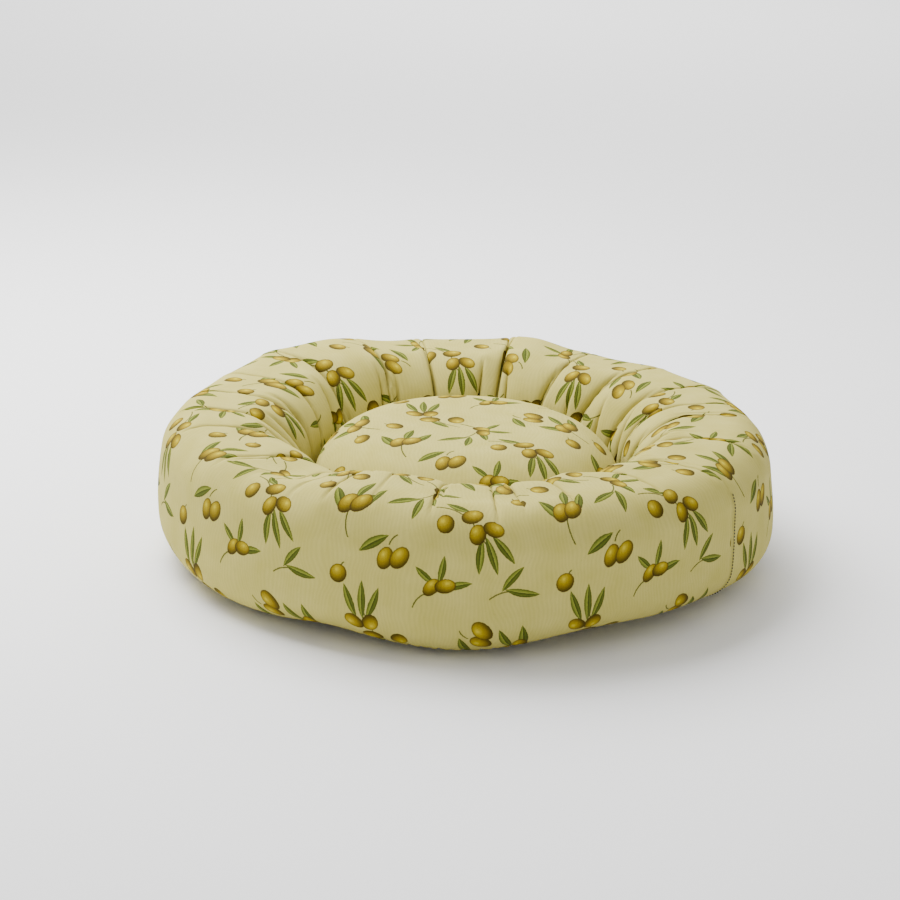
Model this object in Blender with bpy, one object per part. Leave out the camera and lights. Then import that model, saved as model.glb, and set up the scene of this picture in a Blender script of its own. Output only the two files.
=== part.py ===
"""Round pet bed: a stuffed ring bolster with a lift-out cushion in its well.

Metres, +Z up. The origin is on the floor under the middle of the bed, and +Y is its back.
The bolster is one strip of printed canvas. Its ends meet in the closing seam, and its long edges are sewn to
the base, the inner one gathered. The cushion is a canvas cover with a zip in its rim seam, round a stuffed bag.
Sections are drawn in the (radius, height) plane and turned about Z.
"""

import math

import bmesh
import bpy
from mathutils import Matrix, Vector

# Overall sizes
BED_WIDTH = 0.600
BED_HEIGHT = 0.145
WELL_WIDTH = 0.306  # across the well, where the bolster is narrowest
CUSHION_HEIGHT = 0.131  # underside to crown

# Cloths, thread and the gaps between them
CANVAS = 0.0010
LINING = 0.0008
BASE_CLOTH = 0.0012
BAG_CLOTH = 0.0005
THREAD = 0.0006
SEAT = 0.0003  # between two pieces that touch
WELL_CLEARANCE = 0.0020  # between the cushion and the bolster all round

# Bolster
SEAM_ANGLE = 70.0  # how far below the tube's middle its two long edges are sewn down, in degrees
BASE_RIM_ANGLE = 8.0  # how much of the tube the base panel's turned-up rim covers
CLOSING_SEAM_AZIMUTH = -32.5
CLOSING_STITCH_TOP = 45.0  # how far above the tube's middle the row of closing stitches begins
CLOSING_SEAM_GAP = 0.0004
CLOSING_STITCH_OFFSET = 0.0026  # from the closing seam to its row of stitches
GATHER_STITCH_OFFSET = 0.0020  # from the gathered edge to its row of stitches

# Cushion
CUSHION_FLANK_WIDTH = 0.051  # from the flat part of the underside out to the widest place
CUSHION_EQUATOR = 0.072  # height of the widest place above the floor
DOME_FULLNESS = 2.4  # superellipse exponent of the upper half
RIM_SEAM_ANGLE = 45.0  # how far round the lower flank the rim seam is
BAG_SEAM_ANGLE = 30.0
BAG_FULLNESS = 1.6  # superellipse exponent of the bag's lower flank; the cover's is 2

# Zip, in the rim seam at the back
ZIP_HALF_SPAN = 54.0  # of the coils, in degrees each way from the back
TAPE_OVERRUN = 9.0  # by which the tapes pass the coils at each end, in degrees
TAPE_CLOTH = 0.0006
TAPE_WIDTH_ANGLE = 11.25  # of each tape, round the flank's section
ZIP_SLOT = 0.0080  # between the two folded canvas edges
COIL_WIDTH = 0.0021
COIL_THICKNESS = 0.0019
COIL_SPLIT = 0.0016  # between the two coils
STOP_LENGTH = 0.0020
SLIDER_LENGTH = 0.0100
SLIDER_WIDTH = 0.0080
SLIDER_PLATE = 0.0008
SLIDER_WEB = 0.0004
SLIDER_CLEARANCE = 0.0008  # over the coils
SLIDER_TAPE_CLEARANCE = 0.0013  # behind the tapes
SLIDER_START = -51.5  # from the back, in degrees, with the zip closed
BRIDGE_OPENING = 0.0044
BRIDGE_HEADROOM = 0.0020
BRIDGE_BAR = 0.0010
BRIDGE_WIDTH = 0.0020
PULL_THICKNESS = 0.0010
PULL_WIDTH = 0.0060
PULL_LENGTH = 0.0220
PULL_EYE_CLEARANCE = 0.0005

# Facets
TURN_STEPS = 40  # round the bed
ARC_STEP = 360.0 / TURN_STEPS
TUBE_STEP = 18.0  # round the bolster's section
DOME_STEP = 15.0  # over the cushion's upper half
FLANK_STEP = 11.25  # under the cushion's widest place
THREAD_SIDES = 4

# Heights and radii that follow
BASE_TOP = BASE_CLOTH
LINING_UNDERSIDE = BASE_TOP + SEAT
LINING_TOP = LINING_UNDERSIDE + LINING
FOOT = LINING_TOP + SEAT  # where the bolster's edges and the cushion stand
RING_RADIUS = (BED_WIDTH + WELL_WIDTH) / 4
TUBE_HALF_WIDTH = (BED_WIDTH - WELL_WIDTH) / 4
TUBE_HALF_HEIGHT = (BED_HEIGHT - FOOT) / (1 + math.sin(math.radians(SEAM_ANGLE)))
TUBE_MIDDLE = BED_HEIGHT - TUBE_HALF_HEIGHT
CUSHION_RADIUS = WELL_WIDTH / 2 - WELL_CLEARANCE
CUSHION_FLAT_RADIUS = CUSHION_RADIUS - CUSHION_FLANK_WIDTH
CUSHION_CROWN = FOOT + CUSHION_HEIGHT
BACK = 90.0  # azimuth of +Y

PRINTED_CANVAS = ("printed_canvas", (0.58, 0.54, 0.31), 0.85, 0.0)
PLAIN_LINING = ("plain_lining", (0.55, 0.52, 0.38), 0.85, 0.0)
BLACK_BASE = ("black_base_cloth", (0.02, 0.02, 0.022), 0.80, 0.0)
POLYESTER_FIBRE = ("polyester_fibre", (0.85, 0.85, 0.84), 0.95, 0.0)
NONWOVEN_BAG = ("nonwoven_bag", (0.80, 0.80, 0.79), 0.85, 0.0)
DARK_THREAD = ("dark_thread", (0.05, 0.06, 0.03), 0.60, 0.0)
BEIGE_THREAD = ("beige_thread", (0.50, 0.47, 0.32), 0.60, 0.0)
TAPE_WEAVE = ("zip_tape_weave", (0.52, 0.49, 0.33), 0.80, 0.0)
NYLON_COIL = ("nylon_coil", (0.55, 0.52, 0.37), 0.45, 0.0)
NICKEL = ("nickel_plate", (0.72, 0.70, 0.66), 0.30, 1.0)


def clear_scene():
    for obj in list(bpy.data.objects):
        bpy.data.objects.remove(obj)


def material(spec):
    name, colour, roughness, metallic = spec
    found = bpy.data.materials.get(name)
    if found:
        return found
    made = bpy.data.materials.new(name)
    made.use_nodes = True
    shader = made.node_tree.nodes["Principled BSDF"]
    shader.inputs["Base Color"].default_value = (*colour, 1.0)
    shader.inputs["Roughness"].default_value = roughness
    shader.inputs["Metallic"].default_value = metallic
    return made


def object_from(bm, name, finish):
    """One object from a bmesh, with outward faces and smooth shading between facets."""
    bmesh.ops.recalc_face_normals(bm, faces=bm.faces)
    mesh = bpy.data.meshes.new(name)
    bm.to_mesh(mesh)
    bm.free()
    mesh.shade_smooth()
    mesh.set_sharp_from_angle(angle=math.radians(40))
    obj = bpy.data.objects.new(name, mesh)
    obj.data.materials.append(material(finish))
    bpy.context.scene.collection.objects.link(obj)
    return obj


def turned(name, section, finish, start=0.0, sweep=360.0, steps=TURN_STEPS, on_axis=False):
    """A section, a list of (radius, height), turned about Z from azimuth start through sweep degrees.

    A section on the axis begins and ends at radius 0. Any other is a closed loop.
    """
    bm = bmesh.new()
    at = Matrix.Rotation(math.radians(start), 4, "Z")
    loop = [bm.verts.new(at @ Vector((r, 0.0, z))) for r, z in section]
    ends = list(zip(loop, loop[1:])) + ([] if on_axis else [(loop[-1], loop[0])])
    edges = [bm.edges.new(pair) for pair in ends]
    spun = bmesh.ops.spin(
        bm,
        geom=loop + edges,
        cent=(0, 0, 0),
        axis=(0, 0, 1),
        angle=math.radians(sweep),
        steps=steps,
    )
    if sweep < 360:
        bm.faces.new(loop)
        last = [v for v in spun["geom_last"] if isinstance(v, bmesh.types.BMVert)]
        bmesh.ops.contextual_create(bm, geom=last + [e for e in last[0].link_edges if e.is_boundary])
        bmesh.ops.holes_fill(bm, edges=[e for e in bm.edges if e.is_boundary])
    else:
        bmesh.ops.remove_doubles(bm, verts=bm.verts, dist=1e-6)
    return object_from(bm, name, finish)


def extruded(name, outline, height, finish):
    """An outline in the object's own XY plane, raised along its Z."""
    bm = bmesh.new()
    face = bm.faces.new([bm.verts.new((x, y, 0.0)) for x, y in outline])
    raised = bmesh.ops.extrude_face_region(bm, geom=[face], use_keep_orig=True)
    verts = [v for v in raised["geom"] if isinstance(v, bmesh.types.BMVert)]
    bmesh.ops.translate(bm, verts=verts, vec=(0.0, 0.0, height))
    return object_from(bm, name, finish)


def boolean(target, other, operation):
    """Cuts or joins, with the other object left as a hidden helper."""
    other.hide_render = True
    other.display_type = "WIRE"
    modifier = target.modifiers.new(operation.title(), "BOOLEAN")
    modifier.operation = operation
    modifier.object = other
    modifier.solver = "EXACT"


def angles(first, last, step):
    """Degrees from first to last in even steps no longer than step."""
    count = max(1, math.ceil(abs(last - first) / step - 1e-6))
    return [first + (last - first) * i / count for i in range(count + 1)]


def tube_point(angle, inset=0.0):
    """A point of the bolster's section, angle degrees up from its outer side."""
    a = math.radians(angle)
    return (
        RING_RADIUS + (TUBE_HALF_WIDTH - inset) * math.cos(a),
        TUBE_MIDDLE + (TUBE_HALF_HEIGHT - inset) * math.sin(a),
    )


def tube_arc():
    """The angles of the bolster's section, from its outer sewn edge over the top to its inner one."""
    up, over = angles(-SEAM_ANGLE, 0, TUBE_STEP), angles(0, 180, TUBE_STEP)
    return up + over[1:] + angles(180, 180 + SEAM_ANGLE, TUBE_STEP)[1:]


def dome_point(angle, inset):
    """A point of the cushion's upper half, angle degrees up from its widest place."""
    c, s = math.cos(math.radians(angle)), math.sin(math.radians(angle))
    rise = CUSHION_CROWN - CUSHION_EQUATOR
    radius = (CUSHION_RADIUS - inset) * c ** (2 / DOME_FULLNESS) if angle < 90 else 0.0
    return radius, CUSHION_EQUATOR + (rise - inset) * s ** (2 / DOME_FULLNESS)


def flank_point(angle, inset, fullness=2.0):
    """A point of the cushion's lower half, angle degrees down from its widest place."""
    c, s = math.cos(math.radians(angle)), math.sin(math.radians(angle))
    width = CUSHION_FLANK_WIDTH - inset
    drop = CUSHION_EQUATOR - FOOT - inset
    return (
        CUSHION_FLAT_RADIUS + width * max(c, 0.0) ** (2 / fullness),
        CUSHION_EQUATOR - drop * s ** (2 / fullness),
    )


def upper_skin(seam_angle, inset, fullness):
    """From the crown, over the widest place and down to the seam."""
    dome = [dome_point(a, inset) for a in angles(90, 0, DOME_STEP)]
    return dome + [flank_point(a, inset, fullness) for a in angles(0, seam_angle, FLANK_STEP)[1:]]


def lower_skin(seam_angle, inset, fullness):
    """From the seam down the flank and in to the middle of the underside."""
    flank = [flank_point(a, inset, fullness) for a in angles(seam_angle, 90, FLANK_STEP)]
    return flank + [(0.0, FOOT + inset)]


def seat_angle(angle):
    """Half of the gap between two sewn edges, as an angle round the flank."""
    (r0, z0), (r1, z1) = flank_point(angle - 0.5, 0.0), flank_point(angle + 0.5, 0.0)
    return SEAT / 2 / math.hypot(r1 - r0, z1 - z0)


def shell(skin, seam_angle, inset, thickness, fullness):
    """A cloth section: one skin out and the same skin, a thickness further in, back."""
    outer = skin(seam_angle, inset, fullness)
    inner = skin(seam_angle, inset + thickness, fullness)
    return outer + inner[::-1]


# ---------------------------------------------------------------- bolster and base


def bolster_cover():
    """The canvas strip, open along its underside, with its two ends at the closing seam."""
    arc = tube_arc()
    section = [tube_point(a) for a in arc] + [tube_point(a, CANVAS) for a in arc[::-1]]
    gap = math.degrees(CLOSING_SEAM_GAP / (BED_WIDTH / 2))
    start = CLOSING_SEAM_AZIMUTH + gap / 2
    turned("bolster_cover", section, PRINTED_CANVAS, start=start, sweep=360 - gap)


def bolster_fill():
    """The stuffing, which stands on the lining."""
    inset = CANVAS + SEAT
    arc = [tube_point(a, inset) for a in tube_arc()]
    corners = [(arc[-1][0] + SEAT, FOOT), (arc[0][0] - SEAT, FOOT)]
    turned("bolster_fill", arc + corners, POLYESTER_FIBRE, start=CLOSING_SEAM_AZIMUTH)


def base_panel():
    """The non-slip bottom, whose rim is turned up over the bolster's outer edge."""
    outside, inside = -(SEAT + BASE_CLOTH), -SEAT
    rim = angles(-SEAM_ANGLE, BASE_RIM_ANGLE - SEAM_ANGLE, TUBE_STEP / 3)
    outer = [tube_point(a, outside) for a in rim]
    inner = [tube_point(a, inside) for a in rim[::-1]]
    section = [(0.0, 0.0), (outer[0][0], 0.0), *outer, *inner, (inner[-1][0], BASE_TOP), (0.0, BASE_TOP)]
    turned("base_panel", section, BLACK_BASE, start=CLOSING_SEAM_AZIMUTH, on_axis=True)


def lining_panel():
    """The cloth under the stuffing and across the bottom of the well."""
    radius = tube_point(-SEAM_ANGLE, -SEAT)[0] - SEAT
    section = [(0.0, LINING_UNDERSIDE), (radius, LINING_UNDERSIDE), (radius, LINING_TOP), (0.0, LINING_TOP)]
    turned("lining_panel", section, PLAIN_LINING, start=CLOSING_SEAM_AZIMUTH, on_axis=True)


def thread_ring(name, centre, finish):
    """A row of stitches right round the bed, as one thread."""
    r, z = centre
    sides = [2 * math.pi * i / THREAD_SIDES for i in range(THREAD_SIDES)]
    section = [(r + THREAD / 2 * math.cos(a), z + THREAD / 2 * math.sin(a)) for a in sides]
    turned(name, section, finish, start=CLOSING_SEAM_AZIMUTH)


def gather_seam_thread():
    """The stitches that hold the gathered edge down, seen in the bottom of the well."""
    edge = tube_point(180 + SEAM_ANGLE)[0]
    thread_ring("gather_seam_thread", (edge - GATHER_STITCH_OFFSET, FOOT + THREAD / 2), BEIGE_THREAD)


def base_seam_thread():
    """The stitches through the base panel's rim."""
    centre = tube_point(BASE_RIM_ANGLE / 2 - SEAM_ANGLE, -(BASE_CLOTH + 2 * SEAT + THREAD / 2))
    thread_ring("base_seam_thread", centre, DARK_THREAD)


def closing_seam_thread():
    """The stitches that shut the stuffing opening, beside the closing seam and up from the base panel's rim."""
    turn = CLOSING_SEAM_AZIMUTH - math.degrees(CLOSING_STITCH_OFFSET / (BED_WIDTH / 2))
    at = Matrix.Rotation(math.radians(turn), 4, "Z")
    curve = bpy.data.curves.new("closing_seam_thread", "CURVE")
    curve.dimensions = "3D"
    curve.bevel_depth = THREAD / 2
    curve.bevel_resolution = 1
    curve.use_fill_caps = True
    route = [tube_point(a, -(SEAT + THREAD / 2)) for a in tube_arc()[1:] if a < CLOSING_STITCH_TOP]
    spline = curve.splines.new("POLY")
    spline.points.add(len(route) - 1)
    for point, (r, z) in zip(spline.points, route):
        point.co = (*(at @ Vector((r, 0.0, z))), 1.0)
    curve.materials.append(material(DARK_THREAD))
    obj = bpy.data.objects.new("closing_seam_thread", curve)
    bpy.context.scene.collection.objects.link(obj)


# ---------------------------------------------------------------- cushion


def zip_slot():
    """The cutter that parts the two canvas panels along the zip."""
    line = rim_line()
    half = ZIP_SLOT / 2
    corners = [(-half, -2 * CANVAS), (half, -2 * CANVAS), (half, 2 * CANVAS), (-half, 2 * CANVAS)]
    section = [line(along, depth) for along, depth in corners]
    span = ZIP_HALF_SPAN + TAPE_OVERRUN / 2
    return turned(
        "zip_slot_cutter", section, PRINTED_CANVAS, start=BACK - span, sweep=2 * span, steps=zip_steps(span)
    )


def rim_line():
    """A function that places (along, depth) on the section at the rim seam: along runs down, depth inwards."""
    middle = Vector(flank_point(RIM_SEAM_ANGLE, 0.0))
    ahead = Vector(flank_point(RIM_SEAM_ANGLE + 0.1, 0.0)) - Vector(flank_point(RIM_SEAM_ANGLE - 0.1, 0.0))
    down = ahead.normalized()
    inwards = Vector((down.y, -down.x))
    return lambda along, depth: tuple(middle + down * along + inwards * depth)


def zip_steps(span):
    return max(1, round(2 * span / ARC_STEP))


def cushion_cover():
    """The two canvas panels, which meet at the rim seam and stand apart along the zip."""
    seam = seat_angle(RIM_SEAM_ANGLE)
    upper = shell(upper_skin, RIM_SEAM_ANGLE - seam, 0.0, CANVAS, 2.0)
    lower = shell(lower_skin, RIM_SEAM_ANGLE + seam, 0.0, CANVAS, 2.0)
    top = turned("cushion_top_panel", upper, PRINTED_CANVAS, on_axis=True)
    lower = lower[len(lower) // 2 :] + lower[: len(lower) // 2]
    bottom = turned("cushion_bottom_panel", lower, PRINTED_CANVAS, on_axis=True)
    slot = zip_slot()
    boolean(top, slot, "DIFFERENCE")
    boolean(bottom, slot, "DIFFERENCE")


def inner_bag():
    """The bag that holds the stuffing, in two halves with their own seam."""
    seam = seat_angle(BAG_SEAM_ANGLE)
    inset = CANVAS + SEAT
    upper = shell(upper_skin, BAG_SEAM_ANGLE - seam, inset, BAG_CLOTH, BAG_FULLNESS)
    lower = shell(lower_skin, BAG_SEAM_ANGLE + seam, inset, BAG_CLOTH, BAG_FULLNESS)
    turned("inner_bag_top", upper, NONWOVEN_BAG, on_axis=True)
    lower = lower[len(lower) // 2 :] + lower[: len(lower) // 2]
    turned("inner_bag_bottom", lower, NONWOVEN_BAG, on_axis=True)


def cushion_fill():
    inset = CANVAS + SEAT + BAG_CLOTH + SEAT
    section = upper_skin(BAG_SEAM_ANGLE, inset, BAG_FULLNESS)
    section += lower_skin(BAG_SEAM_ANGLE, inset, BAG_FULLNESS)[1:]
    turned("cushion_fill", section, POLYESTER_FIBRE, on_axis=True)


# ---------------------------------------------------------------- zip


def zip_tape(name, side):
    """The tape sewn behind one folded edge: side is -1 above the zip and 1 below it."""
    near = RIM_SEAM_ANGLE + side * seat_angle(RIM_SEAM_ANGLE) * COIL_SPLIT / SEAT
    across = angles(near, RIM_SEAM_ANGLE + side * TAPE_WIDTH_ANGLE, FLANK_STEP)
    inset = CANVAS + SEAT
    section = [flank_point(a, inset) for a in across] + [flank_point(a, inset + TAPE_CLOTH) for a in across[::-1]]
    span = ZIP_HALF_SPAN + TAPE_OVERRUN
    turned(name, section, TAPE_WEAVE, start=BACK - span, sweep=2 * span, steps=zip_steps(span))


def zip_coil(name, side):
    """One coil, as the bar that its turns fill."""
    line = rim_line()
    near, far = side * COIL_SPLIT / 2, side * (COIL_SPLIT / 2 + COIL_WIDTH)
    outside = CANVAS - COIL_THICKNESS
    section = [line(near, outside), line(far, outside), line(far, CANVAS), line(near, CANVAS)]
    span = ZIP_HALF_SPAN
    turned(name, section, NYLON_COIL, start=BACK - span, sweep=2 * span, steps=zip_steps(span))


def zip_frame(azimuth):
    """Places a piece on the zip: its X runs along the zip, its Y down the flank and its Z outwards."""
    line = rim_line()
    r, z = line(0.0, 0.0)
    down = Vector(line(1.0, 0.0)) - Vector((r, z))
    turn = Matrix.Rotation(math.radians(azimuth), 4, "Z")
    along = turn @ Vector((0.0, -1.0, 0.0))
    across = turn @ Vector((down.x, 0.0, down.y))
    outwards = along.cross(across)
    frame = Matrix((along, across, outwards)).transposed().to_4x4()
    frame.translation = turn @ Vector((r, 0.0, z))
    return frame


def zip_stop(name, azimuth_side):
    """The metal stop past one end of the coils."""
    radius = rim_line()(0.0, 0.0)[0]
    past = math.degrees((SEAT + STOP_LENGTH / 2) / radius)
    width = COIL_SPLIT + 2 * COIL_WIDTH
    half = STOP_LENGTH / 2
    outline = [(-half, -width / 2), (half, -width / 2), (half, width / 2), (-half, width / 2)]
    stop = extruded(name, outline, COIL_THICKNESS, NICKEL)
    frame = zip_frame(BACK + azimuth_side * (ZIP_HALF_SPAN + past))
    stop.matrix_world = frame @ Matrix.Translation((0.0, 0.0, -CANVAS))


def zip_slider():
    """Outer and inner plates joined by the web between the coils, with the bridge that holds the pull."""
    outer = COIL_THICKNESS - CANVAS + SLIDER_CLEARANCE
    inner = -(CANVAS + SEAT + TAPE_CLOTH + SLIDER_TAPE_CLEARANCE)
    plate, web = SLIDER_WIDTH / 2, SLIDER_WEB / 2
    half = [(plate, inner - SLIDER_PLATE), (plate, inner), (web, inner), (web, outer), (plate, outer)]
    half += [(plate, outer + SLIDER_PLATE)]
    outline = half + [(-y, z) for y, z in half[::-1]]
    slider = extruded("zip_slider", outline, SLIDER_LENGTH, NICKEL)
    # The outline's own X and Y become the zip frame's across and outwards.
    upright = Matrix(((0, 0, 1, -SLIDER_LENGTH / 2), (1, 0, 0, 0), (0, 1, 0, 0), (0, 0, 0, 1)))
    # The slider runs round the bed's middle, so its origin stays there.
    slider.data.transform(zip_frame(BACK + SLIDER_START) @ upright)

    foot = outer + SLIDER_PLATE / 2
    top = outer + SLIDER_PLATE + BRIDGE_HEADROOM
    near, far = BRIDGE_OPENING / 2, BRIDGE_OPENING / 2 + BRIDGE_BAR
    arch = [(far, foot), (far, top + BRIDGE_BAR), (-far, top + BRIDGE_BAR), (-far, foot)]
    arch += [(-near, foot), (-near, top), (near, top), (near, foot)]
    bridge = extruded("slider_bridge", arch, BRIDGE_WIDTH, NICKEL)
    # The arch stands in the plane of the zip frame's along and outwards.
    standing = Matrix(((1, 0, 0, 0), (0, 0, -1, BRIDGE_WIDTH / 2), (0, 1, 0, 0), (0, 0, 0, 1)))
    bridge.data.transform(zip_frame(BACK + SLIDER_START) @ standing)
    boolean(slider, bridge, "UNION")


def pull_pivot_height():
    """How far the pull's bar is out from the cushion's skin."""
    return COIL_THICKNESS - CANVAS + SLIDER_CLEARANCE + SLIDER_PLATE + BRIDGE_HEADROOM / 2


def zip_pull():
    """A flat tab with an eye round the bridge. Its origin is on the bar that it swings about."""
    bar = PULL_THICKNESS / 2
    eye_end = math.hypot(BRIDGE_OPENING / 2 + BRIDGE_BAR, BRIDGE_HEADROOM / 2 + BRIDGE_BAR) + PULL_EYE_CLEARANCE
    eye = BRIDGE_WIDTH / 2 + PULL_EYE_CLEARANCE
    side = PULL_WIDTH / 2
    end = PULL_LENGTH - side
    nose = [(end + side * math.cos(a), side * math.sin(a)) for a in map(math.radians, angles(-90, 90, 30))]
    pull = extruded("zip_pull", [(-bar, side), (-bar, -side), *nose], PULL_THICKNESS, NICKEL)
    pull.data.transform(Matrix.Translation((0.0, 0.0, -bar)))
    window = [(bar, -eye), (eye_end, -eye), (eye_end, eye), (bar, eye)]
    cutter = extruded("pull_eye_cutter", window, 3 * PULL_THICKNESS, NICKEL)
    cutter.data.transform(Matrix.Translation((0.0, 0.0, -3 * bar)))
    frame = zip_frame(BACK + SLIDER_START) @ Matrix.Translation((0.0, 0.0, pull_pivot_height()))
    pull.matrix_world = frame
    cutter.matrix_world = frame
    boolean(pull, cutter, "DIFFERENCE")


def main():
    clear_scene()
    bolster_cover()
    bolster_fill()
    base_panel()
    lining_panel()
    gather_seam_thread()
    base_seam_thread()
    closing_seam_thread()
    cushion_cover()
    inner_bag()
    cushion_fill()
    zip_tape("zip_tape_upper", -1)
    zip_tape("zip_tape_lower", 1)
    zip_coil("zip_coil_upper", -1)
    zip_coil("zip_coil_lower", 1)
    zip_stop("zip_stop_right", -1)
    zip_stop("zip_stop_left", 1)
    zip_slider()
    zip_pull()


main()
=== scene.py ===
import math

import bmesh
import bpy
import numpy as np
from mathutils import Matrix, Vector, noise


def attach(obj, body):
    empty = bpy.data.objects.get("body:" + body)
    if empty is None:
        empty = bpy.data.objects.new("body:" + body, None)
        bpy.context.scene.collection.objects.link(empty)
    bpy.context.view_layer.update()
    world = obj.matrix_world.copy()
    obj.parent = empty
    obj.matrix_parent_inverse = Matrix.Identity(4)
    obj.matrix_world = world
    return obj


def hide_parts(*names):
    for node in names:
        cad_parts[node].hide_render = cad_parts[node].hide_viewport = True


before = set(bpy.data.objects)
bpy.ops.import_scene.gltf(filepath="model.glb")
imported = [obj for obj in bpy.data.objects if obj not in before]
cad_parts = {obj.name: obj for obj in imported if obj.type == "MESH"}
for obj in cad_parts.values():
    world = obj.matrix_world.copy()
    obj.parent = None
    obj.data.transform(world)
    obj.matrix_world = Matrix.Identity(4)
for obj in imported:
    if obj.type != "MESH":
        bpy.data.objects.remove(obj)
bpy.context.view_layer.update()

# ================================================================ bolster cover
# One strip of printed cotton canvas, sewn to the base along its outer edge. It goes up over the stuffing and
# is gathered in the bottom of the well, where the spare cloth stands in pleats between puffed panels.

STRIP_LENGTH = 1.885
STRIP_WIDTH = 0.410

# The stuffed ring: its middle circle, the half sizes of its section, and the height of the section's middle
RING_RADIUS = 0.2265
TUBE_WIDE = 0.0735
TUBE_TALL = 0.0734
TUBE_MIDDLE = 0.0716

# The strip's edges lie this far below the section's middle, and its ends meet at this turn, in degrees
SEAM_ANGLE = 70.0
SEAM_AZIMUTH = -34.0

# The cloth stays between these radii and heights, and a lump in the stuffing between the last two heights
WELL_LIMIT = 0.1632
OUTER_LIMIT = 0.3035
FLOOR_LIMIT = 0.0032
TOP_LIMIT = 0.1475
LUMP_FLOOR = 0.0029
LUMP_TOP = 0.1585

# Cloth simulation: how much speed is kept in each step, and how far the cloth resists shear
KEPT_SPEED = 0.92
SHEAR = 0.12

# A full pleat's depth and half width in degrees, and how far it creeps while the cloth settles
PLEAT_DEPTH = 0.034
PLEAT_WIDTH = 2.2
PLEAT_CREEP = 8

# How far the closing seam pulls the cloth in, and lifts it on both sides
SEAM_PULL = 0.0012
SEAM_LIP = 0.0004


def stretch(points, one, two, rest, free_one, free_two, stiffness=0.9):
    """Moves each pair of points towards their length in the flat cloth."""
    gap = points[two] - points[one]
    length = np.sqrt((gap * gap).sum(-1, keepdims=True)) + 1e-9
    shift = gap * (stiffness * (length - rest) / length / (free_one + free_two + 1e-9))
    points[one] += shift * free_one
    points[two] -= shift * free_two


def in_order(points, free, least):
    """Keeps the columns in order round the middle, so that pleats close without crossing."""
    turn = np.arctan2(points[..., 1], points[..., 0])
    radius = np.hypot(points[..., 0], points[..., 1])
    step = np.angle(np.exp(1j * (np.roll(turn, -1, 0) - turn)))
    lack = np.maximum(least - step * radius, 0) / 2
    shift = (np.roll(lack, 1, 0) - lack) / radius * free[..., 0]
    c, s = np.cos(shift), np.sin(shift)
    x, y = points[..., 0].copy(), points[..., 1].copy()
    points[..., 0] = c * x - s * y
    points[..., 1] = s * x + c * y


def relaxed(points, across, along, steps, pressure, bend, fixed_rows, limits, least):
    """Cloth simulation of a sewn cover: stuffing presses from inside and the cloth hardly stretches.

    points is columns by rows by 3. across is the flat width of a column in each row, and along the flat
    step between rows. limits(points) keeps the cloth off its neighbours.
    """
    columns, rows, _ = points.shape
    free = np.ones((1, rows, 1))
    free[:, fixed_rows] = 0
    width = across[None, :, None]
    slant = np.sqrt(width ** 2 + along ** 2)
    slant = (slant[:, 1:] + slant[:, :-1]) / 2
    speed = np.zeros_like(points)
    even, odd = np.arange(0, columns, 2), np.arange(1, columns, 2)
    for _ in range(steps):
        du = np.roll(points, -1, 0) - np.roll(points, 1, 0)
        dv = np.gradient(points, axis=1) * 2
        speed = KEPT_SPEED * (speed + pressure / 4 * np.cross(du, dv) * free)
        moved = points + speed
        for _ in range(2):
            stretch(moved, even, odd, width, free, free)
            stretch(moved, odd, (odd + 1) % columns, width, free, free)
            for first in (0, 1):
                one = np.arange(first, rows - 1, 2)
                pick = (slice(None), one), (slice(None), one + 1)
                stretch(moved, *pick, along, free[:, one], free[:, one + 1])
            for rise in (0, 1):
                low = slice(None, -1) if rise else slice(1, None)
                high = slice(1, None) if rise else slice(None, -1)
                gap = np.roll(moved, -1, 0)[:, high] - moved[:, low]
                length = np.sqrt((gap * gap).sum(-1, keepdims=True)) + 1e-9
                shift = gap * (SHEAR * (length - slant) / length)
                moved[:, low] += shift * free[:, low]
                moved[:, high] -= np.roll(shift, 1, 0) * free[:, high]
            moved += bend * ((np.roll(moved, -1, 0) + np.roll(moved, 1, 0)) / 2 - moved) * free
            inner = (moved[:, 2:] + moved[:, :-2]) / 2 - moved[:, 1:-1]
            moved[:, 1:-1] += bend * inner * free[:, 1:-1]
            limits(moved)
            in_order(moved, free, least)
        speed = moved - points
        points = moved
    return points


def refined(points):
    """Twice as many columns and rows, on smooth curves through the old ones."""
    columns, rows, _ = points.shape
    wide = np.empty((2 * columns, rows, 3))
    wide[0::2] = points
    near, far = points + np.roll(points, -1, 0), np.roll(points, 1, 0) + np.roll(points, -2, 0)
    wide[1::2] = (9 * near - far) / 16
    tall = np.empty((2 * columns, 2 * rows - 1, 3))
    tall[:, 0::2] = wide
    ends = np.concatenate([2 * wide[:, :1] - wide[:, 1:2], wide, 2 * wide[:, -1:] - wide[:, -2:-1]], 1)
    tall[:, 1::2] = (9 * (ends[:, 1:-2] + ends[:, 2:-1]) - ends[:, :-3] - ends[:, 3:]) / 16
    return tall


def outward(points):
    """Unit normals of a cloth grid whose columns close on themselves."""
    du = np.roll(points, -1, 0) - np.roll(points, 1, 0)
    dv = np.gradient(points, axis=1)
    normal = np.cross(du, dv)
    return normal / (np.sqrt((normal ** 2).sum(-1, keepdims=True)) + 1e-12)


def turn_between(azimuth, centre):
    """Signed angle from centre to azimuth, in degrees."""
    return (azimuth - centre + 180) % 360 - 180


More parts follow.
